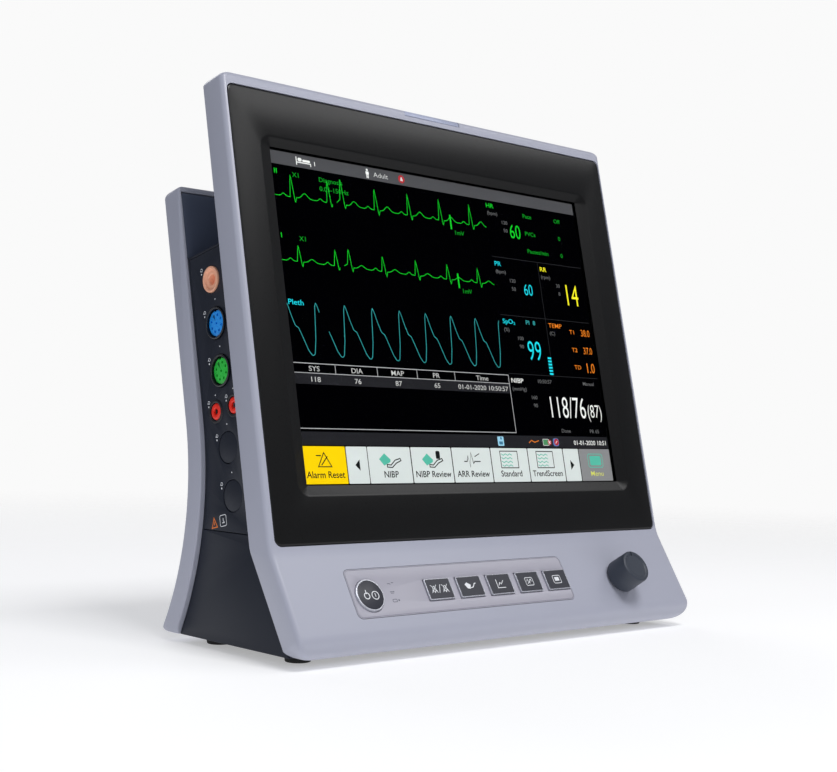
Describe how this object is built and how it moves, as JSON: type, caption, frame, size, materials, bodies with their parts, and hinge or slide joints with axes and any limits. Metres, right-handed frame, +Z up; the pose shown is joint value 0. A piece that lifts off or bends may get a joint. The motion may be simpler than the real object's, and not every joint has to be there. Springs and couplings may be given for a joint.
{
  "type": "patient monitor",
  "caption": "Bedside patient monitor: leaning touchscreen slab with key panel and rotary knob, side sensor sockets, curved rear slab with a hand slot.",
  "frame": {"origin": "on the table plane under the middle of the monitor's bounding box", "axes": "+X to the right of a person facing the screen, +Y away from that person, +Z up"},
  "size_m": [0.3068, 0.149, 0.3074],
  "materials": {
    "shell_grey": "fine-textured light grey moulded ABS with a faint lilac cast",
    "bezel_black": "satin black moulded plastic",
    "navy_plastic": "fine-textured dark navy-grey moulded ABS",
    "touch_glass": "clear hard-coated touch glass",
    "lcd_face": "LCD cell, black when off",
    "alarm_lens": "frosted translucent light pipe",
    "overlay_film": "pinkish grey printed polyester film",
    "key_black": "satin dark grey key tops",
    "knob_slate": "soft-touch slate coating",
    "latch_dark": "dark grey moulded plastic",
    "sheet_metal": "plain rolled sheet",
    "heat_sink_metal": "natural anodised extrusion",
    "zinc_can": "nickel-plated cans and shafts",
    "brass_metal": "plain brass",
    "circuit_board": "green solder-masked glass epoxy",
    "port_peach": "peach moulded hose fitting",
    "port_blue": "blue moulded pin block",
    "port_green": "green moulded pin block",
    "port_red": "red moulded socket",
    "black_moulding": "black nylon moulding",
    "speaker_cone": "black cone and frame",
    "thermal_paper": "uncoated white thermal paper",
    "roller_rubber": "black rubber"
  },
  "bodies": {
    "chassis": {"front_housing": "shell_grey", "display_bezel": "bezel_black", "touch_panel": "touch_glass", "lcd_panel": "lcd_face", "lcd_tray": "sheet_metal", "slab_back_cover": "navy_plastic", "alarm_lens": "alarm_lens", "alarm_board": "circuit_board", "key_overlay": "overlay_film", "key_board": "circuit_board", "encoder_body": "zinc_can", "mid_housing": "navy_plastic", "connector_panel": "navy_plastic", "nibp_port": "port_peach", "spo2_shell": "navy_plastic", "spo2_insert": "port_blue", "ecg_shell": "navy_plastic", "ecg_insert": "port_green", "ibp_socket_rear": "port_red", "ibp_socket_front": "port_red", "blank_plug_upper": "navy_plastic", "blank_plug_lower": "navy_plastic", "parameter_board": "circuit_board", "chassis_plate": "sheet_metal", "main_board": "circuit_board", "heat_sink": "heat_sink_metal", "nibp_pump": "zinc_can", "nibp_valve": "brass_metal", "power_supply": "sheet_metal", "speaker": "speaker_cone", "recorder_housing": "navy_plastic", "platen_motor": "zinc_can", "thermal_head": "sheet_metal", "battery_pack": "black_moulding", "rear_housing": "shell_grey", "handle_plate": "navy_plastic", "port_panel": "navy_plastic", "ac_inlet": "black_moulding", "ground_post": "brass_metal", "lan_port": "zinc_can", "usb_port": "zinc_can", "foot_front_left": "roller_rubber", "foot_front_right": "roller_rubber", "foot_rear_left": "roller_rubber", "foot_rear_right": "roller_rubber"},
    "power_button": {"power_button": "key_black"},
    "alarm_mute_key": {"alarm_mute_key": "key_black"},
    "cuff_key": {"cuff_key": "key_black"},
    "trend_key": {"trend_key": "key_black"},
    "freeze_key": {"freeze_key": "key_black"},
    "menu_key": {"menu_key": "key_black"},
    "encoder_rotor": {"encoder_rotor": "brass_metal"},
    "knob": {"encoder_shaft": "zinc_can", "control_knob": "knob_slate"},
    "recorder_door": {"recorder_door": "navy_plastic"},
    "recorder_release": {"recorder_release": "latch_dark"},
    "paper_roll": {"paper_roll": "thermal_paper"},
    "platen_roller": {"platen_roller": "roller_rubber"},
    "battery_door": {"battery_door": "navy_plastic"},
    "battery_latch": {"battery_latch": "latch_dark"}
  },
  "joints": [
    {"name": "power_button_press", "type": "slide", "parent": "chassis", "child": "power_button", "axis": [0, 0.8453, -0.5344], "range_m": [0, 0.0008], "stiffness_N_per_m": 2000},
    {"name": "alarm_mute_key_press", "type": "slide", "parent": "chassis", "child": "alarm_mute_key", "axis": [0, 0.8453, -0.5344], "range_m": [0, 0.0008], "stiffness_N_per_m": 2000},
    {"name": "cuff_key_press", "type": "slide", "parent": "chassis", "child": "cuff_key", "axis": [0, 0.8453, -0.5344], "range_m": [0, 0.0008], "stiffness_N_per_m": 2000},
    {"name": "trend_key_press", "type": "slide", "parent": "chassis", "child": "trend_key", "axis": [0, 0.8453, -0.5344], "range_m": [0, 0.0008], "stiffness_N_per_m": 2000},
    {"name": "freeze_key_press", "type": "slide", "parent": "chassis", "child": "freeze_key", "axis": [0, 0.8453, -0.5344], "range_m": [0, 0.0008], "stiffness_N_per_m": 2000},
    {"name": "menu_key_press", "type": "slide", "parent": "chassis", "child": "menu_key", "axis": [0, 0.8453, -0.5344], "range_m": [0, 0.0008], "stiffness_N_per_m": 2000},
    {"name": "knob_turn", "type": "hinge", "parent": "chassis", "child": "encoder_rotor", "pos_m": [0.096, -0.05579, 0.03195], "axis": [0, -0.8453, 0.5344], "continuous": true},
    {"name": "knob_press", "type": "slide", "parent": "encoder_rotor", "child": "knob", "axis": [0, 0.8453, -0.5344], "range_m": [0, 0.0007], "stiffness_N_per_m": 3000},
    {"name": "recorder_door_hinge", "type": "hinge", "parent": "chassis", "child": "recorder_door", "pos_m": [0.1466, 0.03704, 0.16356], "axis": [0, 0.2222, 0.975], "range_deg": [0, 95]},
    {"name": "recorder_release_press", "type": "slide", "parent": "chassis", "child": "recorder_release", "axis": [-1, 0, 0], "range_m": [0, 0.0012], "stiffness_N_per_m": 1500},
    {"name": "paper_roll_spin", "type": "hinge", "parent": "chassis", "child": "paper_roll", "pos_m": [0.114, 0.02178, 0.16232], "axis": [0, 0.2222, 0.975], "continuous": true},
    {"name": "platen_spin", "type": "hinge", "parent": "chassis", "child": "platen_roller", "pos_m": [0.1365, 0.01405, 0.16439], "axis": [0, 0.2222, 0.975], "continuous": true},
    {"name": "battery_door_hinge", "type": "hinge", "parent": "chassis", "child": "battery_door", "pos_m": [0.1466, 0.00484, 0.0127], "axis": [0, 1, 0], "range_deg": [0, 90]},
    {"name": "battery_latch_slide", "type": "slide", "parent": "chassis", "child": "battery_latch", "axis": [0, 0, 1], "range_m": [0, 0.003], "stiffness_N_per_m": 500}
  ],
  "couplings": [
    {"joint": "platen_spin", "follows": "paper_roll_spin", "ratio": 2.7174}
  ]
}
